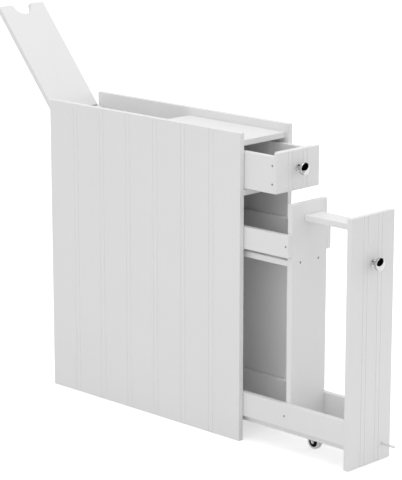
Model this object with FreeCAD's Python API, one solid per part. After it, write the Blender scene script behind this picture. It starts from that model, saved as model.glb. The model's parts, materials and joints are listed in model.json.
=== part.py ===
import FreeCAD, Part
import math
import os
from FreeCAD import Vector

# Rolling bathroom cabinet: a narrow case with a drawer, a flip-top bin and a pull-out trolley on wheels.
# Millimetres, +Z up, front towards -Y. Every piece is drawn shut, with the front of the case on y = 0.
# Then each body moves to its half-open rest place, and the origin goes to the middle of the footprint.

# Case
case_width = 153.0
case_depth = 560.0
case_height = 635.0
board = 12.0
edge_ease = 0.8
ease_limit_share = 0.25
top_sink = 17.0
top_set_back = 8.0
top_length = 272.0
bay_height = 86.0
divider_lap = 6.0
back_recess = 5.0
back_lift = 8.0

# Beaded faces: pairs of narrow grooves between planks
side_planks = 7
front_planks = 3
bead_width = 12.0
groove_width = 2.4
groove_depth = 1.4

# Lid and its hinges
lid_angle = 130.0
lid_front_gap = 2.0
lid_side_gap = 1.5
notch_radius = 25.0
hinge_length = 36.0
hinge_edge_gap = 4.0
hinge_knuckles = 3
barrel_sides = 8
leaf_thickness = 1.2
case_leaf_height = 16.0
lid_leaf_height = 8.6
knuckle_radius = 2.2
knuckle_gap = 0.4
pin_radius = 1.2
leaf_screw_share = 0.28

# Clearances
running_gap = 0.3
side_clearance = 0.9
bearing_clearance = 0.05
fastener_clearance = 0.1
panel_play = 0.2
overrun = 5.0

# Drawer
drawer_open = 84.0
drawer_length = 262.0
drawer_front_thickness = 15.0
drawer_front_lip = 5.0
drawer_top_gap = 2.0
drawer_knob_lift = 4.0
drawer_side_step = 7.0
drawer_bottom_thickness = 4.0
drawer_bottom_lift = 8.0
drawer_groove = 5.0
glide_thickness = 2.5
glide_width = 9.0
drawer_screw_shares = (0.25, 0.75)

# Pull-out trolley
pull_out_open = 279.0
pull_out_rear_gap = 5.0
pull_out_top_gap = 3.0
front_floor_gap = 2.0
brush_bay = 150.0
roll_bay_height = 113.0
shelf_rail_gap = 8.0
shelf_rail_height = 45.0
base_rail_gap = 1.5
base_rail_height = 50.0
bar_width = 48.0
bar_offset = 8.0
bar_drop = 25.0
bar_dowel_share = 0.3
shelf_screw_inset = 25.0
base_screw_inset = 36.0
base_dowel_inset = 14.0

# Casters
wheel_diameter = 30.0
wheel_width = 12.0
tread_thickness = 4.5
tread_chamfer = 1.5
web_recess = 2.0
rim_width = 2.0
wheel_crown_gap = 6.0
axle_radius = 2.0
axle_head_radius = 3.0
axle_head = 1.2
fork_gap = 0.6
fork_leg = 1.6
leg_tip_radius = 3.8
leg_top_width = 22.0
plate_thickness = 2.0
plate_width = 36.0
plate_length = 42.0
plate_screw_inset = 6.0
front_caster_set_back = 141.0
rear_caster_set_back = 110.0

# Knobs
knob_projection = 24.0
knob_base_radius = 7.0
knob_base = 2.0
knob_neck_radius = 4.5
knob_neck_end = 9.0
knob_head_radius = 13.0
knob_rim_start = 13.0
knob_rim_end = 19.5
knob_flare_share = 0.4
knob_flare_rise_share = 0.6
knob_bore_depth = 11.0
knob_screw_radius = 2.0
knob_screw_head_radius = 4.2
knob_screw_head = 2.6
pull_out_knob_drop = 96.0

# Stop peg near the right foot of the trolley's front
stop_place = 38.0
stop_height = 35.0
stop_reach = 33.0
stop_radius = 2.1
stop_collar_radius = 3.4
stop_collar = 1.5
stop_shank_radius = 1.6
stop_shank = 9.0
stop_tip_radius = 2.9
stop_tip_length = 9.0
stop_tip_wall = 2.0

# Fasteners, drawn as bars with few sides
fastener_sides = 6
screw_length = 34.0
screw_radius = 1.5
screw_head_radius = 2.6
small_screw_length = 9.0
small_screw_radius = 1.3
small_screw_head_radius = 2.4
wood_screw = (screw_length, screw_radius, screw_head_radius)
small_screw = (small_screw_length, small_screw_radius, small_screw_head_radius)
dowel_radius = 3.0
dowel_bite = 8.0
dowel_reach = 16.0
dowel_shares = (0.1, 0.9)
divider_dowel_shares = (0.25, 0.75)

# Places worked out from the sizes above
half_case = case_width / 2
half_inner = half_case - board
top_under = case_height - top_sink - board
top_rear = top_set_back + top_length
bay_floor_top = top_under - bay_height
bay_floor_under = bay_floor_top - board
back_rear = case_depth - back_recess
back_front = back_rear - board
back_top = top_under - running_gap
divider_front = top_rear - divider_lap
lid_front = top_rear + lid_front_gap
lid_under = top_under + running_gap
half_lid = half_inner - lid_side_gap
hinge_place = half_lid - hinge_edge_gap - hinge_length / 2
hinge_y = back_rear + knuckle_radius + running_gap
hinge_z = top_under

half_slide = half_inner - side_clearance
half_between = half_slide - board
drawer_under = bay_floor_top + glide_thickness + running_gap
drawer_front_top = top_under - drawer_top_gap
drawer_side_top = drawer_front_top - drawer_side_step
drawer_side_height = drawer_side_top - drawer_under
drawer_knob_z = (drawer_under + drawer_front_top) / 2 + drawer_knob_lift
drawer_joint_y = (drawer_front_lip + drawer_front_thickness) / 2

pull_out_rear = back_front - pull_out_rear_gap
pull_out_back_front = pull_out_rear - board
pull_out_top = bay_floor_under - pull_out_top_gap
partition_front = board + brush_bay
partition_rear = partition_front + board
partition_middle = partition_front + board / 2
pull_out_back_middle = pull_out_back_front + board / 2
base_under = wheel_diameter + wheel_crown_gap + plate_thickness
base_top = base_under + board
base_rail_under = base_top + base_rail_gap
shelf_top = pull_out_top - roll_bay_height
shelf_under = shelf_top - board
shelf_rail_under = shelf_top + shelf_rail_gap
bar_top = pull_out_top - bar_drop
bar_under = bar_top - board
pull_out_knob_z = pull_out_top - pull_out_knob_drop
axle_z = wheel_diameter / 2
front_axle_y = front_caster_set_back
rear_axle_y = pull_out_rear - rear_caster_set_back

# Reach of the open object along y, whose middle is the origin
open_turn = math.radians(lid_angle)
lid_reach = (lid_front - hinge_y) * math.cos(open_turn) + (lid_under + board - hinge_z) * math.sin(open_turn)
lid_corner_cut = edge_ease * min(-math.cos(open_turn), math.sin(open_turn))
rear_end = hinge_y + lid_reach - lid_corner_cut
front_end = -pull_out_open - max(knob_projection, stop_reach)
origin_y = (front_end + rear_end) / 2

ALONG_X = Vector(1, 0, 0)
ALONG_Y = Vector(0, 1, 0)
ALONG_Z = Vector(0, 0, 1)
SIDES = {"left": -1, "right": 1}

pieces = {}
bores = {}


def add(body, node, *solids):
    """Keep the solid or group of like solids of one node, with the body that it moves with."""
    pieces[node] = (body, solids)


def drill(node, *tools):
    """Keep shapes to be cut from a node once all its holes are known."""
    bores.setdefault(node, []).extend(tools)


def slab(x, y, z):
    """Square-edged block between pairs of low and high coordinates."""
    size = [high - low for low, high in (x, y, z)]
    return Part.makeBox(*size, Vector(x[0], y[0], z[0]))


def eased_board(x, y, z):
    """Board between pairs of coordinates with all its edges eased."""
    block = slab(x, y, z)
    thinnest = min(high - low for low, high in (x, y, z))
    return block.makeChamfer(min(edge_ease, thinnest * ease_limit_share), block.Edges)


def mirrored_pair(side, inner, outer):
    """Low and high x of a piece that lies between two distances from the middle, on one side."""
    return sorted((side * inner, side * outer))


def rod(radius, start, direction, length):
    """Round bar from a start point along a unit direction."""
    return Part.makeCylinder(radius, length, start, direction)


def few_sided_ring(radius, centre, direction, sides=fastener_sides):
    """Closed regular outline square to a direction, with its corners at a radius."""
    upright = abs(direction.z) > abs(direction.x) + abs(direction.y)
    spoke = (ALONG_X if upright else ALONG_Z) * radius
    turns = [360 * corner / sides for corner in range(sides + 1)]
    return Part.makePolygon([centre + FreeCAD.Rotation(direction, turn).multVec(spoke) for turn in turns])


def few_sided_rod(radius, start, direction, length, sides=fastener_sides):
    """Bar with flat sides from a start point along a unit direction."""
    return Part.Face(few_sided_ring(radius, start, direction, sides)).extrude(direction * length)


def pin_hole(radius, start, direction, length):
    """Hole round a pin, with flat sides that stay clear of it."""
    clear = (radius + bearing_clearance) / math.cos(math.pi / barrel_sides)
    return few_sided_rod(clear, start, direction, length, barrel_sides)


def few_sided_cone(radius, end_radius, start, direction, length):
    """Tapered bar with flat sides from a start point along a unit direction."""
    rings = [few_sided_ring(radius, start, direction)]
    rings.append(few_sided_ring(end_radius, start + direction * length, direction))
    return Part.makeLoft(rings, True, True)


def groove(surface, across, inward, height):
    """V-shaped cutter along z, starting below its point on a surface."""
    widen = (groove_depth + overrun) / groove_depth
    outside = surface - inward * overrun
    flank = across * (groove_width / 2 * widen)
    tip = surface + inward * groove_depth
    outline = Part.makePolygon([outside - flank, tip, outside + flank, outside - flank])
    return Part.Face(outline).extrude(ALONG_Z * height)


def beads(start, across, inward, width, planks, height):
    """Pairs of grooves at the joints of equal planks across a board's face."""
    cutters = []
    for joint in range(1, planks):
        for flank in (-1, 1):
            place = start + across * (width * joint / planks + flank * bead_width / 2)
            cutters.append(groove(place, across, inward, height))
    return cutters


def countersunk_screw(point, direction, length, radius, head_radius, slack=0):
    """Screw with its flat head at a surface point; with slack it is the hole that takes it."""
    head_depth = head_radius - radius
    head = few_sided_cone(head_radius + slack, radius + slack, point, direction, head_depth)
    screw = head.fuse(few_sided_rod(radius + slack, point, direction, length + slack))
    if slack:
        mouth = few_sided_rod(head_radius + slack, point - direction * overrun, direction, overrun)
        screw = screw.fuse(mouth)
    return screw.removeSplitter()


def screws(places, direction, size, nodes):
    """Screws of one size at surface points, with their holes in the nodes that they join."""
    for place in places:
        hole = countersunk_screw(place, direction, *size, fastener_clearance)
        for node in nodes:
            drill(node, hole)
    return [countersunk_screw(place, direction, *size) for place in places]


def dowel(joint, inward, receiver, carrier):
    """Dowel across a butt joint: a short bite in the receiver's face, a long reach into the carrier's end."""
    length = dowel_bite + dowel_reach
    start = joint - inward * dowel_bite
    hole_start = start - inward * fastener_clearance
    hole_length = length + 2 * fastener_clearance
    hole = few_sided_rod(dowel_radius + fastener_clearance, hole_start, inward, hole_length)
    drill(receiver, hole)
    drill(carrier, hole)
    return few_sided_rod(dowel_radius, start, inward, length)


def lathe(profile, place, axis):
    """Solid of revolution: closed (radius, along) edges in the xz plane, turned and stood on an axis."""
    turned = Part.Face(Part.Wire(profile)).revolve(Vector(), ALONG_Z, 360)
    turned.Placement = FreeCAD.Placement(place, FreeCAD.Rotation(ALONG_Z, axis))
    return turned


def line(start, end):
    """Straight profile edge between two (radius, along) points."""
    return Part.LineSegment(Vector(start[0], 0, start[1]), Vector(end[0], 0, end[1])).toShape()


def arc(start, middle, end):
    """Round profile edge through three (radius, along) points."""
    points = [Vector(radius, 0, along) for radius, along in (start, middle, end)]
    return Part.Arc(*points).toShape()


def side_panels():
    """Two full-height panels that stand on the floor, beaded on their outer faces."""
    for name, side in SIDES.items():
        x = mirrored_pair(side, half_inner, half_case)
        panel = eased_board(x, (0, case_depth), (0, case_height))
        start = Vector(side * half_case, 0, 0)
        cutters = beads(start, ALONG_Y, ALONG_X * -side, case_depth, side_planks, case_height)
        add("case", f"{name}_side_panel", panel.cut(cutters))


def case_boards():
    """Sunk top board, floor and divider of the upper bays, and the back panel."""
    across = (-half_inner, half_inner)
    add("case", "top_board", eased_board(across, (top_set_back, top_rear), (top_under, top_under + board)))
    add("case", "bay_floor", eased_board(across, (0, back_front), (bay_floor_under, bay_floor_top)))
    divider_depth = (divider_front, divider_front + board)
    add("case", "bay_divider", eased_board(across, divider_depth, (bay_floor_top, top_under)))
    add("case", "back_panel", eased_board(across, (back_front, back_rear), (back_lift, back_top)))


def case_joints():
    """Hidden glued dowels between the side panels and the boards between them."""
    top_middle = top_under + board / 2
    floor_middle = bay_floor_under + board / 2
    back_middle = back_front + board / 2
    divider_middle = divider_front + board / 2
    back_height = back_top - back_lift
    dowels = []
    for name, side in SIDES.items():
        x = side * half_inner
        inward = ALONG_X * -side
        places = {
            "top_board": [Vector(x, top_set_back + top_length * share, top_middle) for share in dowel_shares],
            "bay_floor": [Vector(x, back_front * share, floor_middle) for share in dowel_shares],
            "bay_divider": [Vector(x, divider_middle, bay_floor_top + bay_height * share)
                            for share in divider_dowel_shares],
            "back_panel": [Vector(x, back_middle, back_lift + back_height * share) for share in dowel_shares],
        }
        for carrier, joints in places.items():
            dowels += [dowel(joint, inward, f"{name}_side_panel", carrier) for joint in joints]
    add("case", "case_dowels", *dowels)


def drawer_glides():
    """Two slippery strips on the bay floor that carry the drawer's sides."""
    middle = half_slide - board / 2
    strips = []
    for side in SIDES.values():
        x = mirrored_pair(side, middle - glide_width / 2, middle + glide_width / 2)
        strips.append(slab(x, (0, divider_front), (bay_floor_top, bay_floor_top + glide_thickness)))
    add("case", "drawer_glides", *strips)


def lid_panel():
    """Flip-top lid with a half-round finger notch in its free edge."""
    panel = slab((-half_lid, half_lid), (lid_front, back_rear), (lid_under, lid_under + board))
    panel = panel.cut(rod(notch_radius, Vector(0, lid_front, lid_under), ALONG_Z, board))
    add("lid", "lid_board", panel.makeChamfer(min(edge_ease, board * ease_limit_share), panel.Edges))


def hinge_leaf(middle, up, height, knuckles):
    """Leaf on the rear face of a board, above or below the pin, with its share of the knuckles."""
    clear = knuckle_radius + running_gap
    step = hinge_length / hinge_knuckles
    depth = (back_rear, back_rear + leaf_thickness)
    start = middle - hinge_length / 2
    near, far = sorted((hinge_z + up * clear, hinge_z + up * (clear + height)))
    leaf = slab((start, start + hinge_length), depth, (near, far))
    root, edge = sorted((hinge_z, hinge_z + up * clear))
    for knuckle in knuckles:
        left = start + step * knuckle + knuckle_gap / 2
        right = left + step - knuckle_gap
        tongue = slab((left, right), depth, (root, edge))
        barrel_start = Vector(left, hinge_y, hinge_z)
        barrel = few_sided_rod(knuckle_radius, barrel_start, ALONG_X, right - left, barrel_sides)
        leaf = leaf.fuse(tongue).fuse(barrel)
    hole = pin_hole(pin_radius, Vector(start, hinge_y, hinge_z), ALONG_X, hinge_length)
    return leaf.cut(hole).removeSplitter()


def hinges():
    """Two butt hinges on the rear faces of the back panel and the lid."""
    case_leaves = []
    lid_leaves = []
    pins = []
    case_places = []
    lid_places = []
    clear = knuckle_radius + running_gap
    reach = hinge_length * leaf_screw_share
    outside = back_rear + leaf_thickness
    for side in SIDES.values():
        middle = side * hinge_place
        case_leaves.append(hinge_leaf(middle, -1, case_leaf_height, range(0, hinge_knuckles, 2)))
        lid_leaves.append(hinge_leaf(middle, 1, lid_leaf_height, range(1, hinge_knuckles, 2)))
        pin_start = Vector(middle - hinge_length / 2, hinge_y, hinge_z)
        pins.append(rod(pin_radius, pin_start, ALONG_X, hinge_length))
        for x in (middle - reach, middle + reach):
            case_places.append(Vector(x, outside, hinge_z - clear - case_leaf_height / 2))
            lid_places.append(Vector(x, outside, hinge_z + clear + lid_leaf_height / 2))
    add("case", "case_hinge_leaves", *case_leaves)
    add("case", "hinge_pins", *pins)
    add("lid", "lid_hinge_leaves", *lid_leaves)
    case_screws = screws(case_places, -ALONG_Y, small_screw, ("case_hinge_leaves", "back_panel"))
    lid_screws = screws(lid_places, -ALONG_Y, small_screw, ("lid_hinge_leaves", "lid_board"))
    add("case", "case_hinge_screws", *case_screws)
    add("lid", "lid_hinge_screws", *lid_screws)


def drawer_box():
    """Drawer of four boards, whose sides stop in rabbets behind the ends of a full-width front."""
    upright = (drawer_under, drawer_side_top)
    front_upright = (drawer_under, drawer_front_top)
    front = eased_board((-half_slide, half_slide), (0, drawer_front_thickness), front_upright)
    start = Vector(-half_slide, 0, drawer_under)
    cutters = beads(start, ALONG_X, ALONG_Y, 2 * half_slide, front_planks, drawer_front_top - drawer_under)
    for name, side in SIDES.items():
        cutters.append(drawer_rabbet(side))
        x = mirrored_pair(side, half_between, half_slide)
        add("drawer", f"drawer_{name}_side", eased_board(x, (drawer_front_lip, drawer_length), upright))
    add("drawer", "drawer_front", front.cut(cutters))
    across = (-half_between, half_between)
    add("drawer", "drawer_back", eased_board(across, (drawer_length - board, drawer_length), upright))
    drawer_floor()
    drawer_fasteners()


def drawer_rabbet(side):
    """Step cut from one rear end of the drawer's front, over its whole height, that takes a side."""
    x = mirrored_pair(side, half_between, half_slide + overrun)
    depth = (drawer_front_lip, drawer_front_thickness + overrun)
    return slab(x, depth, (drawer_under - overrun, drawer_front_top + overrun))


def drawer_floor():
    """Thin bottom that slides in grooves round the inside of the drawer."""
    low = drawer_under + drawer_bottom_lift
    half = half_between + drawer_groove
    depth = (drawer_front_thickness - drawer_groove, drawer_length - board + drawer_groove)
    add("drawer", "drawer_bottom", slab((-half, half), depth, (low, low + drawer_bottom_thickness)))
    wide = (-half - panel_play, half + panel_play)
    deep = (depth[0] - panel_play, depth[1] + panel_play)
    seat = slab(wide, deep, (low, low + drawer_bottom_thickness + panel_play))
    for node in ("drawer_front", "drawer_back", "drawer_left_side", "drawer_right_side"):
        drill(node, seat)


def drawer_fasteners():
    """Screws through each side into the ends of the front and the back."""
    joined = []
    ends = {"drawer_front": drawer_joint_y, "drawer_back": drawer_length - board / 2}
    for name, side in SIDES.items():
        for node, y in ends.items():
            heights = [drawer_under + drawer_side_height * share for share in drawer_screw_shares]
            places = [Vector(side * half_slide, y, z) for z in heights]
            joined += screws(places, ALONG_X * -side, wood_screw, (f"drawer_{name}_side", node))
    add("drawer", "drawer_screws", *joined)


def knob(body, name, carrier, thickness, z):
    """Turned mushroom knob on a front, with the screw that holds it from behind."""
    flare = knob_head_radius - knob_neck_radius
    flare_rise = knob_rim_start - knob_neck_end
    flare_middle = (
        knob_neck_radius + flare * knob_flare_share,
        knob_neck_end + flare_rise * knob_flare_rise_share,
    )
    dome_rise = knob_projection - knob_rim_end
    dome_radius = (knob_head_radius ** 2 + dome_rise ** 2) / (2 * dome_rise)
    half_turn = math.asin(knob_head_radius / dome_radius) / 2
    dome_drop = dome_radius * (1 - math.cos(half_turn))
    dome_middle = (dome_radius * math.sin(half_turn), knob_projection - dome_drop)
    profile = [
        line((0, 0), (knob_base_radius, 0)),
        line((knob_base_radius, 0), (knob_base_radius, knob_base)),
        line((knob_base_radius, knob_base), (knob_neck_radius, knob_base)),
        line((knob_neck_radius, knob_base), (knob_neck_radius, knob_neck_end)),
        arc((knob_neck_radius, knob_neck_end), flare_middle, (knob_head_radius, knob_rim_start)),
        line((knob_head_radius, knob_rim_start), (knob_head_radius, knob_rim_end)),
        arc((knob_head_radius, knob_rim_end), dome_middle, (0, knob_projection)),
        line((0, knob_projection), (0, 0)),
    ]
    turned = lathe(profile, Vector(0, 0, z), -ALONG_Y)
    rear = Vector(0, thickness, z)
    shank_length = thickness + knob_bore_depth - fastener_clearance
    screw = few_sided_rod(knob_screw_radius, rear, -ALONG_Y, shank_length)
    screw = screw.fuse(few_sided_rod(knob_screw_head_radius, rear, ALONG_Y, knob_screw_head))
    hole_radius = knob_screw_radius + fastener_clearance
    hole = few_sided_rod(hole_radius, rear, -ALONG_Y, thickness + knob_bore_depth)
    drill(carrier, hole)
    add(body, name, turned.cut(hole))
    add(body, f"{name}_screw", screw.removeSplitter())


def stop_peg():
    """Slim peg screwed into the trolley's front, with a collar at its foot and a soft tip over its end."""
    foot = Vector(stop_place, 0, stop_height)
    peg = few_sided_rod(stop_radius, foot, -ALONG_Y, stop_reach - stop_tip_wall, barrel_sides)
    peg = peg.fuse(few_sided_rod(stop_collar_radius, foot, -ALONG_Y, stop_collar, barrel_sides))
    peg = peg.fuse(few_sided_rod(stop_shank_radius, foot, ALONG_Y, stop_shank))
    shank_hole = few_sided_rod(
        stop_shank_radius + fastener_clearance, foot, ALONG_Y, stop_shank + fastener_clearance)
    tip_start = foot - ALONG_Y * (stop_reach - stop_tip_length)
    tip = few_sided_rod(stop_tip_radius, tip_start, -ALONG_Y, stop_tip_length, barrel_sides)
    socket_depth = stop_tip_length - stop_tip_wall + fastener_clearance
    socket = few_sided_rod(stop_radius + fastener_clearance, tip_start, -ALONG_Y, socket_depth, barrel_sides)
    drill("pull_out_front", shank_hole)
    add("pull_out", "stop_peg", peg.removeSplitter())
    add("pull_out", "stop_peg_tip", tip.cut(socket))


def pull_out_boards():
    """Beaded front, base, partition, back, shelf, four rails and the flat bar of the trolley."""
    front = eased_board((-half_slide, half_slide), (0, board), (front_floor_gap, pull_out_top))
    start = Vector(-half_slide, 0, front_floor_gap)
    height = pull_out_top - front_floor_gap
    front = front.cut(beads(start, ALONG_X, ALONG_Y, 2 * half_slide, front_planks, height))
    across = (-half_between, half_between)
    upright = (base_top, pull_out_top)
    bar_x = (bar_offset - bar_width / 2, bar_offset + bar_width / 2)
    add("pull_out", "pull_out_front", front)
    add("pull_out", "pull_out_base", eased_board(across, (board, pull_out_rear), (base_under, base_top)))
    add("pull_out", "partition_panel", eased_board(across, (partition_front, partition_rear), upright))
    add("pull_out", "pull_out_back", eased_board(across, (pull_out_back_front, pull_out_rear), upright))
    shelf_depth = (partition_rear, pull_out_back_front)
    add("pull_out", "roll_shelf", eased_board(across, shelf_depth, (shelf_under, shelf_top)))
    add("pull_out", "top_bar", eased_board(bar_x, (board, partition_front), (bar_under, bar_top)))
    for name, side in SIDES.items():
        x = mirrored_pair(side, half_between, half_slide)
        shelf_rail = (shelf_rail_under, shelf_rail_under + shelf_rail_height)
        base_rail = (base_rail_under, base_rail_under + base_rail_height)
        add("pull_out", f"{name}_shelf_rail", eased_board(x, (partition_front, pull_out_rear), shelf_rail))
        add("pull_out", f"{name}_base_rail", eased_board(x, (board, pull_out_rear), base_rail))


def pull_out_screws():
    """Screws through the rails, the two uprights and the base."""
    uprights = {"partition_panel": partition_middle, "pull_out_back": pull_out_back_middle}
    rail_heights = {"shelf_rail": shelf_rail_under + shelf_rail_height / 2}
    rail_heights["base_rail"] = base_rail_under + base_rail_height / 2
    rail_screws = []
    for name, side in SIDES.items():
        for rail, z in rail_heights.items():
            for upright, y in uprights.items():
                place = Vector(side * half_slide, y, z)
                rail_screws += screws([place], ALONG_X * -side, wood_screw, (f"{name}_{rail}", upright))
    shelf_x = half_between - shelf_screw_inset
    shelf_z = shelf_under + board / 2
    front_places = [Vector(side * shelf_x, partition_front, shelf_z) for side in SIDES.values()]
    rear_places = [Vector(side * shelf_x, pull_out_rear, shelf_z) for side in SIDES.values()]
    shelf_screws = screws(front_places, ALONG_Y, wood_screw, ("partition_panel", "roll_shelf"))
    shelf_screws += screws(rear_places, -ALONG_Y, wood_screw, ("pull_out_back", "roll_shelf"))
    base_x = half_between - base_screw_inset
    base_screws = []
    for upright, y in uprights.items():
        places = [Vector(side * base_x, y, base_under) for side in SIDES.values()]
        base_screws += screws(places, ALONG_Z, wood_screw, ("pull_out_base", upright))
    add("pull_out", "rail_screws", *rail_screws)
    add("pull_out", "shelf_screws", *shelf_screws)
    add("pull_out", "base_screws", *base_screws)


def pull_out_joints():
    """Hidden glued dowels that hold the front to the base, the base rails and the bar."""
    base_middle = base_under + board / 2
    bar_middle = bar_under + board / 2
    rail_middle = base_rail_under + base_rail_height / 2
    rail_x = half_slide - board / 2
    front = "pull_out_front"
    dowels = []
    for name, side in SIDES.items():
        base_dowel = Vector(side * (half_between - base_dowel_inset), board, base_middle)
        rail_dowel = Vector(side * rail_x, board, rail_middle)
        bar_x = bar_offset + side * bar_width * bar_dowel_share
        dowels.append(dowel(base_dowel, ALONG_Y, front, "pull_out_base"))
        dowels.append(dowel(rail_dowel, ALONG_Y, front, f"{name}_base_rail"))
        bar_front = Vector(bar_x, board, bar_middle)
        bar_rear = Vector(bar_x, partition_front, bar_middle)
        dowels.append(dowel(bar_front, ALONG_Y, front, "top_bar"))
        dowels.append(dowel(bar_rear, -ALONG_Y, "partition_panel", "top_bar"))
    add("pull_out", "pull_out_dowels", *dowels)


def fork_leg_outline(x, y):
    """Tapered leg of a fork in the yz plane, rounded off under the axle."""
    half_top = leg_top_width / 2
    top_left = Vector(x, y - half_top, base_under)
    top_right = Vector(x, y + half_top, base_under)
    left = Vector(x, y - leg_tip_radius, axle_z)
    right = Vector(x, y + leg_tip_radius, axle_z)
    tip = Vector(x, y, axle_z - leg_tip_radius)
    edges = [
        Part.LineSegment(top_left, left).toShape(),
        Part.Arc(left, tip, right).toShape(),
        Part.LineSegment(right, top_right).toShape(),
        Part.LineSegment(top_right, top_left).toShape(),
    ]
    return Part.Face(Part.Wire(edges))


def caster_fork(y):
    """Plate under the base with a leg each side of the wheel and a hole for the axle."""
    half_plate = plate_width / 2
    depth = (y - plate_length / 2, y + plate_length / 2)
    fork = slab((-half_plate, half_plate), depth, (base_under - plate_thickness, base_under))
    leg_inner = wheel_width / 2 + fork_gap
    for x in (leg_inner, -leg_inner - fork_leg):
        fork = fork.fuse(fork_leg_outline(x, y).extrude(ALONG_X * fork_leg))
    fork = fork.cut(pin_hole(axle_radius, Vector(-half_plate, y, axle_z), ALONG_X, plate_width))
    return fork.removeSplitter()


def caster_axle(y):
    """Riveted axle with a head outside each leg."""
    reach = wheel_width / 2 + fork_gap + fork_leg
    axle = rod(axle_radius, Vector(-reach, y, axle_z), ALONG_X, 2 * reach)
    for start in (reach, -reach - axle_head):
        axle = axle.fuse(few_sided_rod(axle_head_radius, Vector(start, y, axle_z), ALONG_X, axle_head))
    return axle.removeSplitter()


def ring_of(outline, centre):
    """Ring turned round the axle from half of a (radius, along) outline that is alike on both sides."""
    whole = outline + [(radius, -along) for radius, along in reversed(outline)]
    return lathe([line(start, end) for start, end in zip(whole, whole[1:] + whole[:1])], centre, ALONG_X)


def wheel(body, y):
    """Hard core with a recessed web each side, and a soft tread round it."""
    centre = Vector(0, y, axle_z)
    half = wheel_width / 2
    web = half - web_recess
    outer_radius = wheel_diameter / 2
    core_radius = outer_radius - tread_thickness
    rim_radius = core_radius - rim_width
    bore = axle_radius + bearing_clearance
    core = [(bore, web), (rim_radius, web), (rim_radius, half), (core_radius, half)]
    tread = [(core_radius, half), (outer_radius - tread_chamfer, half), (outer_radius, half - tread_chamfer)]
    add(body, f"{body}_core", ring_of(core, centre))
    add(body, f"{body}_tread", ring_of(tread, centre))


def casters():
    """Two fixed casters on the middle line of the base, one behind the other."""
    places = {"front": front_axle_y, "rear": rear_axle_y}
    screw_reach = plate_length / 2 - plate_screw_inset
    axles = []
    plate_screws = []
    for name, y in places.items():
        fork = f"{name}_caster_fork"
        ends = [Vector(0, y + end * screw_reach, base_under - plate_thickness) for end in SIDES.values()]
        add("pull_out", fork, caster_fork(y))
        plate_screws += screws(ends, ALONG_Z, small_screw, (fork, "pull_out_base"))
        axles.append(caster_axle(y))
        wheel(f"{name}_wheel", y)
    add("pull_out", "caster_axles", *axles)
    add("pull_out", "caster_screws", *plate_screws)


def at_rest(body, shape):
    """Move a shut piece to its half-open rest place, then to the middle of the footprint."""
    if body == "lid":
        shape.rotate(Vector(0, hinge_y, hinge_z), ALONG_X, -lid_angle)
    elif body == "drawer":
        shape.translate(-ALONG_Y * drawer_open)
    elif body != "case":
        shape.translate(-ALONG_Y * pull_out_open)
    shape.translate(-ALONG_Y * origin_y)
    return shape


def save_all():
    """Drill the pieces, put them at rest and write one file for each node."""
    os.makedirs("parts", exist_ok=True)
    for node, (body, solids) in pieces.items():
        finished = []
        for solid in solids:
            if node in bores:
                solid = solid.cut(bores[node])
            finished += at_rest(body, solid).Solids
        Part.makeCompound(finished).exportStep(f"parts/{node}.step")


def main():
    side_panels()
    case_boards()
    case_joints()
    drawer_glides()
    lid_panel()
    hinges()
    drawer_box()
    knob("drawer", "drawer_knob", "drawer_front", drawer_front_thickness, drawer_knob_z)
    pull_out_boards()
    pull_out_screws()
    pull_out_joints()
    knob("pull_out", "pull_out_knob", "pull_out_front", board, pull_out_knob_z)
    stop_peg()
    casters()
    save_all()


if __name__ == "__main__":
    main()
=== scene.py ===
import json
import math

import bmesh
import bpy
import numpy as np
from bpy.props import FloatProperty, FloatVectorProperty, IntProperty, PointerProperty
from bpy.types import Operator, Panel, PropertyGroup
from mathutils import Matrix, Vector


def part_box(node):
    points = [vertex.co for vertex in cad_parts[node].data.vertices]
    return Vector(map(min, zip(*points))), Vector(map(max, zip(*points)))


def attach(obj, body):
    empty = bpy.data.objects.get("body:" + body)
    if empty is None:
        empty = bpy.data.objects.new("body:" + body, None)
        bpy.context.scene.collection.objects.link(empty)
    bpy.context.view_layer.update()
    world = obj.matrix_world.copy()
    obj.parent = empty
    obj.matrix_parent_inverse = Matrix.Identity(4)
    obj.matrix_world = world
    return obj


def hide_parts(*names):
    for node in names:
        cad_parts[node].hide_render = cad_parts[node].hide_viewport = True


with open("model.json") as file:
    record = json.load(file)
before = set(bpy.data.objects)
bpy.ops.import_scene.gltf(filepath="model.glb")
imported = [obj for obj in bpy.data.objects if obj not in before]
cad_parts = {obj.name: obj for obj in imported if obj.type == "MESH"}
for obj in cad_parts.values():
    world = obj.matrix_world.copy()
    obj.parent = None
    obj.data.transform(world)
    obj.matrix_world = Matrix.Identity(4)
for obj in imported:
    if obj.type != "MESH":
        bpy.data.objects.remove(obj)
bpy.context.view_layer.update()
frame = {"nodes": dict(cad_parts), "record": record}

bl_info = {
    "name": "Rolling Bathroom Cabinet",
    "version": (1, 0, 0),
    "blender": (4, 5, 0),
    "location": "3D View > Sidebar > Cabinet",
    "description": "Finishes a narrow white cabinet with a drawer, a flip-top bin and a pull-out trolley",
    "category": "Object",
}

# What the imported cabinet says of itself
RECORD = frame["record"]
SLOT_OF = {part["node"]: part["material_slot"] for part in RECORD["subparts"]}
BODY_OF = {node: body for body, nodes in RECORD["behaviour"]["bodies"].items() for node in nodes}

# Fixed values
FULL_TURN = 2 * math.pi
QUARTER_TURN = math.pi / 2
SMOOTH_LIMIT = math.radians(35)
FLAT_LIMIT = math.radians(1)
MERGE_DISTANCE = 1e-6
MILLIMETRE = 0.001
ROUND_PROFILE = 0.5
SORTING_DIGITS = 4
SQUARES_PER_BAR = 3
MATRIX_SIZE = 4
NOISE_DETAIL = 3.0
IMAGE_WIDTH = 402
IMAGE_HEIGHT = 480
SENSOR_WIDTH = 36.0
WHITE = (1, 1, 1, 1)
METAL = {"Metallic": 1}
FORWARD = Vector((0, -1, 0))
SIDEWAYS = Vector((1, 0, 0))
UPWARD = Vector((0, 0, 1))

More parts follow.
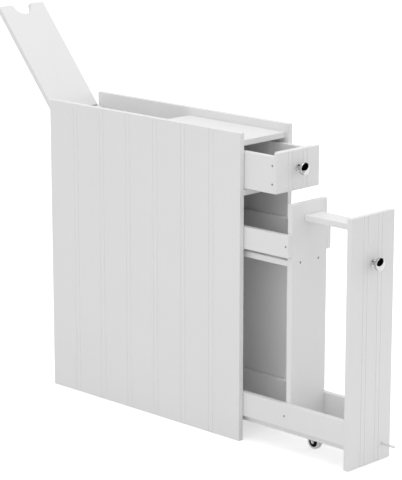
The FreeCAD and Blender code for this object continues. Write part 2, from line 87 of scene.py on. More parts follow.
# Shares along x, y and z that stretch a grain
EVEN_SHARES = (1, 1, 1)
STREAK_SHARES = (1, 0.05, 1)
WOOD_GRAIN_SHARES = (0.1, 0.1, 1)

# Share of a screw's radius or length beyond which a point lies on its rim or at its end
OUTERMOST_SHARE = 0.99


def length(name, millimetres, description):
    """A length that a user can change, with its default given in millimetres."""
    return FloatProperty(
        name=name, description=description, default=millimetres * MILLIMETRE, min=0, unit="LENGTH",
        subtype="DISTANCE", precision=5,
    )


def stage_length(name, metres, description):
    """A length of the stage, with its default given in metres."""
    return FloatProperty(name=name, description=description, default=metres, min=0, unit="LENGTH")


def share(name, default, description):
    """A share from nothing to all."""
    return FloatProperty(
        name=name, description=description, default=default, min=0, max=1, subtype="FACTOR",
    )


def level(name, default, description):
    """A strength or power from nothing upwards."""
    return FloatProperty(name=name, description=description, default=default, min=0)


def count(name, default, description):
    """A number of steps."""
    return IntProperty(name=name, description=description, default=default, min=1)


def colour(name, default, description):
    """A colour that a user can change."""
    return FloatVectorProperty(
        name=name, description=description, default=default, min=0, max=1, subtype="COLOR",
    )


def turn(name, degrees, description):
    """An angle that a user can change, with its default given in degrees."""
    return FloatProperty(
        name=name, description=description, default=math.radians(degrees), subtype="ANGLE",
    )


def finish_fields(tone, shade, grain, relief, smoothest, roughest):
    """Fields of a surface finish, with its grain and relief given in millimetres."""
    return {
        "tone": colour("Tone", tone, "Main colour of the surface"),
        "shade": colour("Shade", shade, "Second colour, in the spots of the grain"),
        "grain": length("Grain", grain, "Size of the spots"),
        "relief": length("Relief", relief, "Height of the spots"),
        "smoothest": share("Least roughness", smoothest, "Roughness where the surface is glossiest"),
        "roughest": share("Most roughness", roughest, "Roughness where the surface is dullest"),
    }


class PaintFinish(PropertyGroup):
    """Satin white paint on all the boards"""

    __annotations__ = finish_fields((0.83, 0.83, 0.83), (0.805, 0.805, 0.805), 120, 0, 0.38, 0.5)
    __annotations__["peel_size"] = length("Peel size", 1.4, "Size of the fine waves that a roller leaves")
    __annotations__["peel_height"] = length("Peel height", 0.006, "Height of the fine waves")


class ChromeFinish(PropertyGroup):
    """Polished plate of the knobs"""

    __annotations__ = finish_fields((0.58, 0.58, 0.59), (0.55, 0.55, 0.56), 3, 0, 0.03, 0.08)


class ZincFinish(PropertyGroup):
    """Bright plate of the hinges, forks and axles"""

    __annotations__ = finish_fields((0.60, 0.60, 0.61), (0.43, 0.43, 0.45), 1.5, 0.01, 0.22, 0.4)


class ScrewFinish(PropertyGroup):
    """Grey coat of the screws"""

    __annotations__ = finish_fields((0.42, 0.42, 0.43), (0.32, 0.32, 0.33), 0.8, 0.01, 0.35, 0.55)


class PlasticFinish(PropertyGroup):
    """Black moulded plastic of the wheels"""

    __annotations__ = finish_fields((0.004, 0.004, 0.004), (0.012, 0.012, 0.012), 0.5, 0.02, 0.55, 0.7)
    __annotations__["shine"] = share("Shine", 0.08, "Strength of the surface's reflections")


class RubberFinish(PropertyGroup):
    """Soft pale rubber of the treads and the stop peg's tip"""

    __annotations__ = finish_fields((0.90, 0.90, 0.89), (0.84, 0.84, 0.83), 1.2, 0.03, 0.6, 0.8)


class NylonFinish(PropertyGroup):
    """Pale plastic of the strips under the drawer and of the stop peg"""

    __annotations__ = finish_fields((0.72, 0.72, 0.70), (0.66, 0.66, 0.64), 2, 0, 0.3, 0.45)


class BeechFinish(PropertyGroup):
    """Bare wood of the dowels"""

    __annotations__ = finish_fields((0.62, 0.42, 0.24), (0.50, 0.32, 0.17), 0.8, 0.01, 0.55, 0.7)


class KnobSizes(PropertyGroup):
    """Turned mushroom knobs"""

    bore_radius: length("Bore radius", 2.1, "Radius of the hole for the screw")
    bore_depth: length("Bore depth", 11.0, "Depth of the hole for the screw")
    foot_radius: length("Foot radius", 7.0, "Radius of the foot against the front")
    foot: length("Foot", 2.0, "Thickness of the foot")
    neck_radius: length("Neck radius", 4.5, "Radius of the neck")
    flare_start: length("Flare start", 10.6, "Where the neck opens into the head")
    flare_rounding: length("Flare rounding", 4.2, "Rounding between neck and head")
    rim_start: length("Rim start", 13.0, "Where the head reaches its full width")
    rim_end: length("Rim end", 19.5, "Where the domed face starts")
    rim_rounding: length("Rim rounding", 2.4, "Rounding of the head's rim")
    easing: length("Easing", 0.7, "Rounding of the foot's edge")
    dome_steps: count("Dome steps", 16, "Steps from the rim to the middle of the face")
    rounding_steps: count("Rounding steps", 8, "Steps across a rounded edge")
    steps: count("Steps", 64, "Steps round the knob")


class StopSizes(PropertyGroup):
    """Slim stop peg with a soft tip"""

    radius: length("Radius", 2.1, "Radius of the peg")
    collar: length("Collar", 1.5, "Thickness of the collar at the peg's foot")
    shank_radius: length("Shank radius", 1.6, "Radius of the part inside the front")
    tip_wall: length("Tip wall", 2.0, "Thickness of the soft tip beyond the peg's end")
    play: length("Play", 0.1, "Room between the peg and its soft tip")
    easing: length("Easing", 0.5, "Rounding of the collar and the peg's end")
    tip_rounding: length("Tip rounding", 1.6, "Rounding of the soft tip")
    rounding_steps: count("Rounding steps", 5, "Steps across a rounded edge")
    steps: count("Steps", 40, "Steps round the peg")


class ScrewSizes(PropertyGroup):
    """Cross-head screws"""

    recess_share: share("Recess width", 0.62, "Reach of the cross as a share of the head's radius")
    depth_share: share("Recess depth", 0.5, "Depth of the cross as a share of the head's radius")
    taper_share: share("Recess taper", 0.62, "Width of the cross at its bottom as a share of its mouth")
    edge_share: share("Edge", 0.08, "Bevel of the head's rim as a share of its radius")
    tip_share: share("Tip", 0.16, "Pointed end as a share of the screw's length")
    steps: count("Steps", 24, "Steps round the screw")


class WheelSizes(PropertyGroup):
    """Moulded wheels with a soft tread"""

    hub_radius: length("Hub radius", 4.2, "Radius of the boss round the axle")
    hub_gap: length("Hub gap", 0.3, "Distance of the boss from the wheel's flank")
    bore_radius: length("Bore radius", 2.05, "Radius of the hole for the axle")
    web_recess: length("Web recess", 2.0, "Depth of the dished web")
    rim: length("Rim", 2.0, "Thickness of the core's rim")
    tread: length("Tread", 4.5, "Thickness of the tread")
    shoulder: length("Shoulder", 1.8, "Rounding of the tread's shoulders")
    easing: length("Easing", 0.35, "Rounding of the core's edges")
    rounding_steps: count("Rounding steps", 4, "Steps across a rounded edge")
    steps: count("Steps", 64, "Steps round the wheel")


class PressedSteelSizes(PropertyGroup):
    """Hinges, forks, pins and axles"""

    easing: length("Easing", 0.22, "Rounding of the pressed edges")
    rounding_steps: count("Rounding steps", 2, "Steps across a rounded edge")


class StageSettings(PropertyGroup):
    """Floor, light and camera"""

    floor_tone: colour("Floor", (0.72, 0.72, 0.72), "Colour of the floor")
    floor_size: stage_length("Floor size", 60, "Side of the floor")
    floor_glow: level("Floor glow", 0.6, "White that camera and mirrors see added to the floor")
    sky: level("Sky", 0.715, "Strength of the even light from all round")
    background: level("Background", 1.0, "White that the camera and mirrors see instead of the sky")
    lamp_power: level("Lamp power", 108, "Power of the lamp overhead in watts")
    lamp_size: stage_length("Lamp size", 5, "Side of the lamp overhead")
    lamp_height: stage_length("Lamp height", 6, "Height of the lamp overhead")
    fill_size: stage_length("Fill size", 3, "Side of each lamp in front")
    fill_height: stage_length("Fill height", 1.6, "Height of the lamps in front")
    fill_distance: stage_length("Fill distance", 4.5, "Distance of the lamps in front")
    left_fill_power: level("Left fill power", 27, "Power of the left lamp in front in watts")
    left_fill_heading: turn("Left fill heading", -68, "Turn from straight ahead towards the right")
    right_fill_power: level("Right fill power", 30, "Power of the right lamp in front in watts")
    right_fill_heading: turn("Right fill heading", 52, "Turn from straight ahead towards the right")
    card_distance: stage_length("Card distance", 1.3, "Distance of the dark card")
    card_width: stage_length("Card width", 5, "Width of the dark card")
    card_height: stage_length("Card height", 2, "Height of the dark card from edge to edge")
    card_lift: stage_length("Card lift", 1.4, "Height of the middle of the dark card above the floor")
    card_heading: turn("Card heading", 36, "Turn of the card from straight ahead towards the right")
    card_roll: turn("Card roll", 24, "Slope of the dark card up towards the right")
    card_tone: colour("Card", (0.004, 0.004, 0.004), "Dark card that the polished plate mirrors")
    camera_heading: turn("Camera heading", 45.590, "Turn of the view from straight back to the right")
    camera_dip: turn("Camera dip", 13.574, "Angle that the camera looks down")
    camera_distance: stage_length("Camera distance", 4.3704, "From the point that the camera looks at")
    camera_target: FloatVectorProperty(
        name="Camera target", description="Point in the middle of the picture",
        default=(0, -0.03335, 0.37619), subtype="TRANSLATION", unit="LENGTH",
    )
    focal_pixels: level("Focal length", 2111.1, "Focal length in pixels of the picture")


# Materials

def main_shader(material):
    """Shader that holds the surface values of a material."""
    return material.node_tree.nodes["Principled BSDF"]


def new_material(name, sockets):
    """Material whose even values are set on the shader itself."""
    material = bpy.data.materials.new(name)
    material.use_nodes = True
    for socket, value in sockets.items():
        main_shader(material).inputs[socket].default_value = value
    return material


def noise(material, size, stretch=EVEN_SHARES):
    """Noise on the object's own coordinates, with spots of about one size."""
    tree = material.node_tree
    coordinates = tree.nodes.new("ShaderNodeTexCoord")
    mapping = tree.nodes.new("ShaderNodeMapping")
    texture = tree.nodes.new("ShaderNodeTexNoise")
    mapping.inputs["Scale"].default_value = stretch
    texture.inputs["Scale"].default_value = 1 / size
    texture.inputs["Detail"].default_value = NOISE_DETAIL
    tree.links.new(coordinates.outputs["Object"], mapping.inputs["Vector"])
    tree.links.new(mapping.outputs["Vector"], texture.inputs["Vector"])
    return texture.outputs["Fac"]


def tint(material, pattern, first, second):
    """Colour of a surface between two tones."""
    tree = material.node_tree
    mix = tree.nodes.new("ShaderNodeMix")
    mix.data_type = "RGBA"
    start, end = (socket for socket in mix.inputs if socket.type == "RGBA")
    start.default_value = (*first, 1)
    end.default_value = (*second, 1)
    tree.links.new(pattern, mix.inputs["Factor"])
    mixed = next(socket for socket in mix.outputs if socket.type == "RGBA")
    tree.links.new(mixed, main_shader(material).inputs["Base Color"])


def between(tree, pattern, low, high):
    """Value that a pattern moves between low and high."""
    spread = tree.nodes.new("ShaderNodeMapRange")
    spread.inputs["To Min"].default_value = low
    spread.inputs["To Max"].default_value = high
    tree.links.new(pattern, spread.inputs["Value"])
    return spread.outputs["Result"]


def roughen(material, pattern, low, high):
    """Roughness of a surface between two values."""
    tree = material.node_tree
    tree.links.new(between(tree, pattern, low, high), main_shader(material).inputs["Roughness"])


def emboss(material, pattern, height):
    """Fine relief of a surface."""
    tree = material.node_tree
    relief = tree.nodes.new("ShaderNodeBump")
    relief.inputs["Distance"].default_value = height
    tree.links.new(pattern, relief.inputs["Height"])
    tree.links.new(relief.outputs["Normal"], main_shader(material).inputs["Normal"])


def grained_material(name, finish, sockets, stretch=EVEN_SHARES):
    """Material whose grain shifts its tone and roughness, with a relief where it has one."""
    material = new_material(name, sockets)
    grain = noise(material, finish.grain, stretch)
    tint(material, grain, finish.tone, finish.shade)
    roughen(material, grain, finish.smoothest, finish.roughest)
    if finish.relief:
        emboss(material, grain, finish.relief)
    return material


def satin_white_paint(finish):
    """Rolled satin paint with faint clouds and a fine peel."""
    material = grained_material("satin_white_paint", finish, {})
    emboss(material, noise(material, finish.peel_size), finish.peel_height)
    return material


def polished_chrome(finish):
    """Polished plate with faint wiping marks."""
    return grained_material("polished_chrome", finish, METAL)


def bright_zinc(finish):
    """Zinc plate with small dull crystals."""
    return grained_material("bright_zinc", finish, METAL)


def grey_screw_steel(finish):
    """Grey coated steel with small dark patches."""
    return grained_material("grey_screw_steel", finish, METAL)


def black_plastic(finish):
    """Black moulded plastic with a fine grain."""
    return grained_material("black_plastic", finish, {"Specular IOR Level": finish.shine})


def pale_rubber(finish):
    """Soft pale rubber with a dusty face."""
    return grained_material("pale_rubber", finish, {})


def slip_nylon(finish):
    """Pale slippery plastic with rubbed streaks."""
    return grained_material("slip_nylon", finish, {}, STREAK_SHARES)


def dowel_beech(finish):
    """Bare beech with fine grain."""
    return grained_material("dowel_beech", finish, {}, WOOD_GRAIN_SHARES)


def dress(nodes, material):
    """Give carried-over nodes one material."""
    for node in nodes:
        mesh = frame["nodes"][node].data
        mesh.materials.clear()
        mesh.materials.append(material)


def nodes_in_slot(slot):
    """Nodes of the cabinet that take one finish."""
    return [node for node, name in SLOT_OF.items() if name == slot]


# Shapes

def finished_mesh(bm, name):
    """Mesh of what was made."""
    mesh = bpy.data.meshes.new(name)
    bm.to_mesh(mesh)
    bm.free()
    return mesh


def add_object(name, data):
    """Object in the scene that holds a mesh, a lamp or a camera."""
    added = bpy.data.objects.new(name, data)
    bpy.context.scene.collection.objects.link(added)
    return added


def add_piece(bm, name, material, node):
    """Finished piece that stands for a node and moves with the node's body."""
    for face in bm.faces:
        face.smooth = True
    for edge in bm.edges:
        edge.smooth = edge.calc_face_angle(0) < SMOOTH_LIMIT
    mesh = finished_mesh(bm, name)
    mesh.materials.append(material)
    piece = add_object(name, mesh)
    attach(piece, BODY_OF[node])
    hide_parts(node)


def merged_copy(node):
    """Copy of a node with its loose triangles joined."""
    bm = bmesh.new()
    bm.from_mesh(frame["nodes"][node].data)
    bmesh.ops.remove_doubles(bm, verts=bm.verts[:], dist=MERGE_DISTANCE)
    return bm


def draw_profile(bm, points, closed=False):
    """Chain of edges through (radius, along) points in the xz plane."""
    corners = [bm.verts.new((radius, 0, along)) for radius, along in points]
    ends = corners[1:] + corners[:1] if closed else corners[1:]
    for start, end in zip(corners, ends):
        bm.edges.new((start, end))
    return corners


def round_corners(bm, corners, radius, steps):
    """Round some corners of a drawn profile."""
    bmesh.ops.bevel(
        bm, geom=corners, offset=radius, offset_type="OFFSET", segments=steps, profile=ROUND_PROFILE,
        affect="VERTICES", material=-1,
    )


def spin_profile(bm, steps):
    """Turn all that is drawn into a closed round form about z."""
    bmesh.ops.spin(
        bm, geom=bm.verts[:] + bm.edges[:], cent=(0, 0, 0), axis=UPWARD, dvec=(0, 0, 0),
        angle=FULL_TURN, steps=steps, use_merge=True, use_normal_flip=False, use_duplicate=False,
    )
    bmesh.ops.remove_doubles(bm, verts=bm.verts[:], dist=MERGE_DISTANCE)


def stand_on(bm, verts, place, axis):
    """Turn what was made along z to an axis and move it to a place."""
    turned = UPWARD.rotation_difference(axis).to_matrix().to_4x4()
    bmesh.ops.transform(bm, matrix=Matrix.Translation(place) @ turned, verts=verts)


def close_outward(bm):
    """Make all faces point outwards."""
    bmesh.ops.recalc_face_normals(bm, faces=bm.faces[:])


def turned_form(bm, steps, place, axis):
    """Closed round form of a drawn profile, standing at a place along an axis."""
    spin_profile(bm, steps)
    stand_on(bm, bm.verts[:], place, axis)
    close_outward(bm)
    return bm


def knob(node, sizes):
    """Mushroom knob with a hole for its screw: foot, neck, flared head with a round rim, domed face."""
    low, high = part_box(node)
    projection = high.y - low.y
    head_radius = (high.x - low.x) / 2
    rise = projection - sizes.rim_end
    dome_radius = (head_radius ** 2 + rise ** 2) / (2 * rise)
    bm = bmesh.new()
    *_, foot_edge, _, neck_end, rim_start, rim_end = draw_profile(bm, [
        (0, sizes.bore_depth), (sizes.bore_radius, sizes.bore_depth), (sizes.bore_radius, 0),
        (sizes.foot_radius, 0), (sizes.foot_radius, sizes.foot), (sizes.neck_radius, sizes.foot),
        (sizes.neck_radius, sizes.flare_start), (head_radius, sizes.rim_start),
        (head_radius, sizes.rim_end),
    ])
    bmesh.ops.spin(
        bm, geom=[rim_end], cent=(0, 0, projection - dome_radius), axis=FORWARD, dvec=(0, 0, 0),
        angle=math.asin(head_radius / dome_radius), steps=sizes.dome_steps, use_merge=False,
        use_normal_flip=False, use_duplicate=False,
    )
    round_corners(bm, [foot_edge], sizes.easing, sizes.rounding_steps)
    round_corners(bm, [rim_start, rim_end], sizes.rim_rounding, sizes.rounding_steps)
    round_corners(bm, [neck_end], sizes.flare_rounding, sizes.rounding_steps)
    return turned_form(bm, sizes.steps, Vector((0, high.y, (low.z + high.z) / 2)), FORWARD)


def front_face_point(node):
    """Point on the face of the trolley's front behind the middle of a node."""
    low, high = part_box(node)
    middle = (low + high) / 2
    middle.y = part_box("pull_out_front")[0].y
    return middle


def stop_peg(node, sizes):
    """Peg with a collar on the front and a thinner shank inside it."""
    low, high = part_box(node)
    foot = front_face_point(node)
    collar_radius = (high.x - low.x) / 2
    reach = foot.y - low.y
    shank_end = foot.y - high.y
    bm = bmesh.new()
    _, shank_rim, _, _, collar_rim, _, end_rim, _ = draw_profile(bm, [
        (0, shank_end), (sizes.shank_radius, shank_end), (sizes.shank_radius, 0),
        (collar_radius, 0), (collar_radius, sizes.collar), (sizes.radius, sizes.collar),
        (sizes.radius, reach), (0, reach),
    ])
    round_corners(bm, [shank_rim, collar_rim, end_rim], sizes.easing, sizes.rounding_steps)
    return turned_form(bm, sizes.steps, foot, FORWARD)


def stop_tip(node, sizes):
    """Soft cap with a round end and a socket for the peg."""
    low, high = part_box(node)
    start = front_face_point(node)
    start.y = high.y
    radius = (high.x - low.x) / 2
    full = high.y - low.y
    socket_radius = sizes.radius + sizes.play
    socket_end = full - sizes.tip_wall + sizes.play
    bm = bmesh.new()
    *_, mouth_rim, end_rim, _ = draw_profile(bm, [
        (0, socket_end), (socket_radius, socket_end), (socket_radius, 0),
        (radius, 0), (radius, full), (0, full),
    ])
    round_corners(bm, [mouth_rim], sizes.easing, sizes.rounding_steps)
    round_corners(bm, [end_rim], sizes.tip_rounding, sizes.rounding_steps)
    return turned_form(bm, sizes.steps, start, FORWARD)


def separate_solids(node):
    """Points of each separate solid of a node."""
    bm = merged_copy(node)
    waiting = set(bm.verts)
    solids = []
    while waiting:
        front = [waiting.pop()]
        points = []
        while front:
            vert = front.pop()
            points.append(vert.co[:])
            near = {edge.other_vert(vert) for edge in vert.link_edges} & waiting
            waiting -= near
            front.extend(near)
        solids.append(np.array(points))
    bm.free()
    return sorted(solids, key=lambda points: points.mean(0).round(SORTING_DIGITS).tolist())


def screw_line(points):
    """Head point, direction, length, head radius, head height and shank radius of a screw's points."""
    centre = points.mean(0)
    axis = np.linalg.eigh(np.cov((points - centre).T))[1][:, -1]
    along = (points - centre) @ axis
    radii = np.linalg.norm(points - centre - np.outer(along, axis), axis=1)
    head_radius = radii.max()
    in_head = radii > OUTERMOST_SHARE * head_radius
    if along[in_head].mean() > 0:
        axis = -axis
        along = -along
    start = along.min()
    full = along.max() - start
    shank_radius = radii[along > start + OUTERMOST_SHARE * full].max()
    head_height = along[in_head].max() - start
    head_point = Vector(centre + axis * start)
    return head_point, Vector(axis), full, head_radius, head_height, shank_radius


def cross_recess(bm, reach, depth, taper):
    """Hollow like a cross of two bars that tapers down from the plane of a screw's head."""
    made = bmesh.ops.create_grid(
        bm, x_segments=SQUARES_PER_BAR, y_segments=SQUARES_PER_BAR, size=reach,
    )
    faces = {face for vert in made["verts"] for face in vert.link_faces}
    centres = {face: face.calc_center_median() for face in faces}
    corners = [
        face for face, centre in centres.items()
        if min(abs(centre.x), abs(centre.y)) > reach / 2
    ]
    bmesh.ops.delete(bm, geom=corners, context="FACES")
    cross = [face for face in faces if face.is_valid]
    sunk = bmesh.ops.extrude_face_region(bm, geom=cross)["geom"]
    floor = [part for part in sunk if isinstance(part, bmesh.types.BMVert)]
    bmesh.ops.scale(bm, vec=(taper, taper, 1), verts=floor)
    bmesh.ops.translate(bm, vec=(0, 0, depth), verts=floor)
    bmesh.ops.delete(bm, geom=[face for face in cross if face.is_valid], context="FACES_ONLY")


def screw_mesh(points, sizes):
    """One cross-head screw along z, with a sunk cone or a standing pan head."""
    _, _, full, head_radius, head_height, shank_radius = screw_line(points)
    bevel = head_radius * sizes.edge_share
    tip = full * sizes.tip_share
    if head_height > bevel:
        crown = head_height / 2
        head = [(head_radius - crown, 0), (head_radius, crown)]
        head += [(head_radius, head_height), (shank_radius, head_height)]
    else:
        head = [(head_radius - bevel, 0), (head_radius, bevel)]
        head += [(shank_radius, head_radius - shank_radius)]
    bm = bmesh.new()
    draw_profile(bm, head + [(shank_radius, full - tip), (0, full)])
    spin_profile(bm, sizes.steps)
    reach = head_radius * sizes.recess_share
    cross_recess(bm, reach, head_radius * sizes.depth_share, sizes.taper_share)
    bmesh.ops.bridge_loops(bm, edges=[edge for edge in bm.edges if edge.is_boundary])
    close_outward(bm)
    return finished_mesh(bm, "screw")


def screws(node, sizes):
    """All the screws of a node, each where its solid is."""
    solids = separate_solids(node)
    pattern = screw_mesh(solids[0], sizes)
    bm = bmesh.new()
    for points in solids:
        place, axis, *_ = screw_line(points)
        first = len(bm.verts)
        bm.from_mesh(pattern)
        bm.verts.ensure_lookup_table()
        stand_on(bm, bm.verts[first:], place, axis)
    bpy.data.meshes.remove(pattern)
    return bm


def wheel_ring(outline, rounded, radius, node, sizes):
    """Ring turned round a wheel's axle from half of an outline, some of whose points are rounded."""
    low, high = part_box(node)
    bm = bmesh.new()
    whole = outline + [(reach, -along) for reach, along in reversed(outline)]
    corners = zip(draw_profile(bm, whole, closed=True), whole)
    picked = [corner for corner, (reach, along) in corners if (reach, abs(along)) in rounded]
    round_corners(bm, picked, radius, sizes.rounding_steps)
    return turned_form(bm, sizes.steps, (low + high) / 2, SIDEWAYS)


def wheel_core(node, tread_node, sizes):
    """Dished core with a boss round the axle."""
    low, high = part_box(tread_node)
    half = (high.x - low.x) / 2
    radius = (high.z - low.z) / 2 - sizes.tread
    web = half - sizes.web_recess
    inside = radius - sizes.rim
    hub = half - sizes.hub_gap
    rounded = [(sizes.hub_radius, hub), (sizes.hub_radius, web), (inside, web), (inside, half)]
    outline = [(sizes.bore_radius, hub), *rounded, (radius, half)]
    return wheel_ring(outline, rounded, sizes.easing, node, sizes)


def wheel_tread(node, sizes):
    """Soft ring with rounded shoulders."""
    low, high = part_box(node)
    half = (high.x - low.x) / 2
    radius = (high.z - low.z) / 2
    shoulder = (radius, half)
    outline = [(radius - sizes.tread, half), shoulder]
    return wheel_ring(outline, [shoulder], sizes.shoulder, node, sizes)


def eased_copy(node, sizes):
    """Copy of a node with its sharp edges eased."""
    bm = merged_copy(node)
    bmesh.ops.dissolve_limit(
        bm, angle_limit=FLAT_LIMIT, use_dissolve_boundaries=False, verts=bm.verts[:],
        edges=bm.edges[:], delimit=set(),
    )
    sharp = [edge for edge in bm.edges if edge.calc_face_angle(0) > SMOOTH_LIMIT]
    bmesh.ops.bevel(
        bm, geom=sharp, offset=sizes.easing, offset_type="OFFSET", segments=sizes.rounding_steps,
        profile=ROUND_PROFILE, affect="EDGES", clamp_overlap=True, material=-1,
    )
    bmesh.ops.dissolve_degenerate(bm, dist=MERGE_DISTANCE, edges=bm.edges[:])
    return bm


# Stage

def camera_level(tree, hidden, seen):
    """Strength that the camera, mirrors and glass get as seen, and all other light as hidden."""
    rays = tree.nodes.new("ShaderNodeLightPath")
    looking = rays.outputs["Is Camera Ray"]
    for kind in ("Is Glossy Ray", "Is Transmission Ray"):
        either = tree.nodes.new("ShaderNodeMath")
        either.operation = "MAXIMUM"
        tree.links.new(looking, either.inputs[0])
        tree.links.new(rays.outputs[kind], either.inputs[1])
        looking = either.outputs["Value"]
    return between(tree, looking, hidden, seen)


def stage_plane(name, width, height, matrix):
    """Flat rectangle of the stage."""
    right = width / 2
    top = height / 2
    corners = [(-right, -top, 0), (right, -top, 0), (right, top, 0), (-right, top, 0)]
    bm = bmesh.new()
    bm.faces.new([bm.verts.new(corner) for corner in corners])
    bmesh.ops.transform(bm, matrix=matrix, verts=bm.verts[:])
    plane = add_object(name, finished_mesh(bm, name))
    return plane


def matte_material(name, tone):
    """Even material without gloss for the stage."""
    return new_material(name, {"Base Color": (*tone, 1), "Roughness": 1, "Specular IOR Level": 0})


def pale_floor(settings):
    """Wide pale floor that keeps a soft shadow."""
    floor = stage_plane("floor", settings.floor_size, settings.floor_size, Matrix())
    material = matte_material("pale_floor", settings.floor_tone)
    tree = material.node_tree
    glow = tree.nodes.new("ShaderNodeEmission")
    both = tree.nodes.new("ShaderNodeAddShader")
    tree.links.new(camera_level(tree, 0, settings.floor_glow), glow.inputs["Strength"])
    tree.links.new(main_shader(material).outputs["BSDF"], both.inputs[0])
    tree.links.new(glow.outputs["Emission"], both.inputs[1])
    tree.links.new(both.outputs["Shader"], tree.nodes["Material Output"].inputs["Surface"])
    floor.data.materials.append(material)


def even_sky(settings):
    """Even light from all round, in front of a white background."""
    world = bpy.data.worlds.new("even_sky")
    world.use_nodes = True
    sky = world.node_tree.nodes["Background"]
    sky.inputs["Color"].default_value = WHITE
    strength = camera_level(world.node_tree, settings.sky, settings.background)
    world.node_tree.links.new(strength, sky.inputs["Strength"])
    bpy.context.scene.world = world


def soft_lamp(name, place, target, size, power):
    """Square lamp at a place that shines at a target."""
    lamp = bpy.data.lights.new(name, "AREA")
    lamp.shape = "SQUARE"
    lamp.size = size
    lamp.energy = power
    holder = add_object(name, lamp)
    holder.location = place
    holder.rotation_euler = (target - place).to_track_quat("-Z", "Y").to_euler()
    return holder


def heading_point(heading, distance, height):
    """Point at a distance from the origin, turned from straight ahead towards the right."""
    return Vector((math.sin(heading) * distance, -math.cos(heading) * distance, height))


def lamps(settings):
    """Wide lamp overhead and two weak fills in front that mirrors don't show."""
    overhead = Vector((0, 0, settings.lamp_height))
    soft_lamp("overhead_lamp", overhead, Vector(), settings.lamp_size, settings.lamp_power)
    fills = {
        "left_fill": (settings.left_fill_heading, settings.left_fill_power),
        "right_fill": (settings.right_fill_heading, settings.right_fill_power),
    }
    target = Vector(settings.camera_target)
    for name, (heading, power) in fills.items():
        place = heading_point(heading, settings.fill_distance, settings.fill_height)
        fill = soft_lamp(name, place, target, settings.fill_size, power)
        fill.visible_glossy = False


def rotation(angle, axis):
    """Turn about an axis of the scene."""
    return Matrix.Rotation(angle, MATRIX_SIZE, axis)


def dark_card(settings):
    """Dark card in front of the cabinet that only mirrors see."""
    place = heading_point(settings.card_heading, settings.card_distance, settings.card_lift)
    facing = rotation(settings.card_heading, "Z")
    upright = rotation(QUARTER_TURN, "X") @ rotation(settings.card_roll, "Z")
    matrix = Matrix.Translation(place) @ facing @ upright
    card = stage_plane("dark_card", settings.card_width, settings.card_height, matrix)
    card.data.materials.append(matte_material("dark_card", settings.card_tone))
    card.visible_camera = False
    card.visible_diffuse = False
    card.visible_shadow = False


def picture_camera(settings):
    """Camera that looks down on the near corner of the cabinet."""
    heading = settings.camera_heading
    dip = settings.camera_dip
    ahead = Vector((
        math.sin(heading) * math.cos(dip), math.cos(heading) * math.cos(dip), -math.sin(dip),
    ))
    data = bpy.data.cameras.new("picture_camera")
    data.sensor_width = SENSOR_WIDTH
    data.lens = settings.focal_pixels * SENSOR_WIDTH / max(IMAGE_WIDTH, IMAGE_HEIGHT)
    camera = add_object("picture_camera", data)
    camera.location = Vector(settings.camera_target) - ahead * settings.camera_distance
    camera.rotation_euler = ahead.to_track_quat("-Z", "Y").to_euler()
    bpy.context.scene.camera = camera


# Operators

class CABINET_OT_paint_boards(Operator):
    """Paint the boards of the case, the lid, the drawer and the trolley"""

    bl_idname = "cabinet.paint_boards"
    bl_label = "Paint Boards"

    def execute(self, context):
        dress(nodes_in_slot("white_paint"), satin_white_paint(context.scene.cabinet_paint))
        return {"FINISHED"}


class CABINET_OT_finish_dowels_and_glides(Operator):
    """Give the dowels their wood, and the drawer's glide strips and the stop peg their nylon"""

    bl_idname = "cabinet.finish_dowels_and_glides"
    bl_label = "Finish Dowels and Glides"

    def execute(self, context):
        nylon = slip_nylon(context.scene.cabinet_nylon)
        dress(nodes_in_slot("dowel_wood"), dowel_beech(context.scene.cabinet_beech))
        dress(["drawer_glides"], nylon)
        peg = stop_peg("stop_peg", context.scene.cabinet_stop)
        add_piece(peg, "stop_peg_turned", nylon, "stop_peg")
        return {"FINISHED"}


class CABINET_OT_turn_knobs(Operator):
    """Turn the polished knobs of the drawer and the trolley"""

    bl_idname = "cabinet.turn_knobs"
    bl_label = "Turn Knobs"

    def execute(self, context):
        material = polished_chrome(context.scene.cabinet_chrome)
        for node in nodes_in_slot("chrome"):
            add_piece(knob(node, context.scene.cabinet_knob), f"{node}_turned", material, node)
        return {"FINISHED"}


class CABINET_OT_drive_screws(Operator):
    """Put cross-head screws where the cabinet's screws are"""

    bl_idname = "cabinet.drive_screws"
    bl_label = "Drive Screws"

    def execute(self, context):
        material = grey_screw_steel(context.scene.cabinet_screw_finish)
        for node in nodes_in_slot("screw_steel"):
            add_piece(screws(node, context.scene.cabinet_screw), f"{node}_cross_head", material, node)
        return {"FINISHED"}


class CABINET_OT_press_hinges_and_forks(Operator):
    """Ease the edges of the hinges, pins, forks and axles and plate them"""

    bl_idname = "cabinet.press_hinges_and_forks"
    bl_label = "Press Hinges and Forks"

    def execute(self, context):
        material = bright_zinc(context.scene.cabinet_zinc)
        for node in nodes_in_slot("zinc_steel"):
            add_piece(eased_copy(node, context.scene.cabinet_pressed), f"{node}_plated", material, node)
        return {"FINISHED"}


class CABINET_OT_mould_wheels(Operator):
    """Mould the wheels' cores and treads, and the stop peg's soft tip"""

    bl_idname = "cabinet.mould_wheels"
    bl_label = "Mould Wheels"

    def execute(self, context):
        sizes = context.scene.cabinet_wheel
        plastic = black_plastic(context.scene.cabinet_plastic)
        rubber = pale_rubber(context.scene.cabinet_rubber)
        for core in nodes_in_slot("black_plastic"):
            tread = core.replace("core", "tread")
            add_piece(wheel_core(core, tread, sizes), f"{core}_moulded", plastic, core)
            add_piece(wheel_tread(tread, sizes), f"{tread}_moulded", rubber, tread)
        tip = stop_tip("stop_peg_tip", context.scene.cabinet_stop)
        add_piece(tip, "stop_peg_tip_moulded", rubber, "stop_peg_tip")
        return {"FINISHED"}


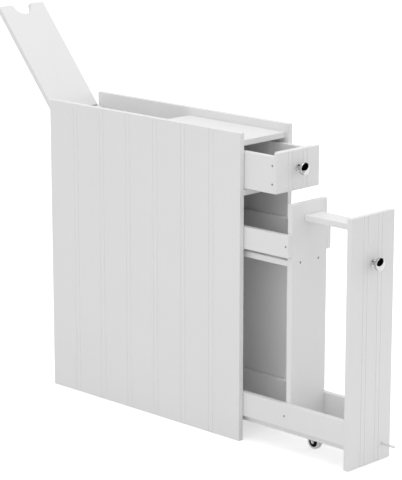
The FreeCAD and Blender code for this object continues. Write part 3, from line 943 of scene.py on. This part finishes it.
class CABINET_OT_set_stage(Operator):
    """Lay the floor, light the cabinet and place the camera"""

    bl_idname = "cabinet.set_stage"
    bl_label = "Set Stage"

    def execute(self, context):
        settings = context.scene.cabinet_stage
        context.scene.view_settings.view_transform = "Standard"
        pale_floor(settings)
        even_sky(settings)
        lamps(settings)
        dark_card(settings)
        picture_camera(settings)
        return {"FINISHED"}


OPERATORS = (
    CABINET_OT_paint_boards,
    CABINET_OT_finish_dowels_and_glides,
    CABINET_OT_turn_knobs,
    CABINET_OT_drive_screws,
    CABINET_OT_press_hinges_and_forks,
    CABINET_OT_mould_wheels,
    CABINET_OT_set_stage,
)
GROUPS = {
    "cabinet_paint": PaintFinish,
    "cabinet_chrome": ChromeFinish,
    "cabinet_zinc": ZincFinish,
    "cabinet_screw_finish": ScrewFinish,
    "cabinet_plastic": PlasticFinish,
    "cabinet_rubber": RubberFinish,
    "cabinet_nylon": NylonFinish,
    "cabinet_beech": BeechFinish,
    "cabinet_knob": KnobSizes,
    "cabinet_stop": StopSizes,
    "cabinet_screw": ScrewSizes,
    "cabinet_wheel": WheelSizes,
    "cabinet_pressed": PressedSteelSizes,
    "cabinet_stage": StageSettings,
}


class CABINET_PT_pieces(Panel):
    """Lists the steps that finish the cabinet"""

    bl_idname = "CABINET_PT_pieces"
    bl_label = "Cabinet"
    bl_space_type = "VIEW_3D"
    bl_region_type = "UI"
    bl_category = "Cabinet"

    def draw(self, context):
        for operator in OPERATORS:
            self.layout.operator(operator.bl_idname)


CLASSES = (*GROUPS.values(), *OPERATORS, CABINET_PT_pieces)


def register():
    """Add the settings, the steps and their panel."""
    for listed in CLASSES:
        bpy.utils.register_class(listed)
    for name, group in GROUPS.items():
        setattr(bpy.types.Scene, name, PointerProperty(type=group))


def unregister():
    """Take the settings, the steps and their panel away."""
    for name in GROUPS:
        delattr(bpy.types.Scene, name)
    for listed in reversed(CLASSES):
        bpy.utils.unregister_class(listed)


def main():
    """Finish the cabinet step by step."""
    register()
    bpy.ops.cabinet.paint_boards()
    bpy.ops.cabinet.finish_dowels_and_glides()
    bpy.ops.cabinet.turn_knobs()
    bpy.ops.cabinet.drive_screws()
    bpy.ops.cabinet.press_hinges_and_forks()
    bpy.ops.cabinet.mould_wheels()
    bpy.ops.cabinet.set_stage()


if __name__ == "__main__":
    main()
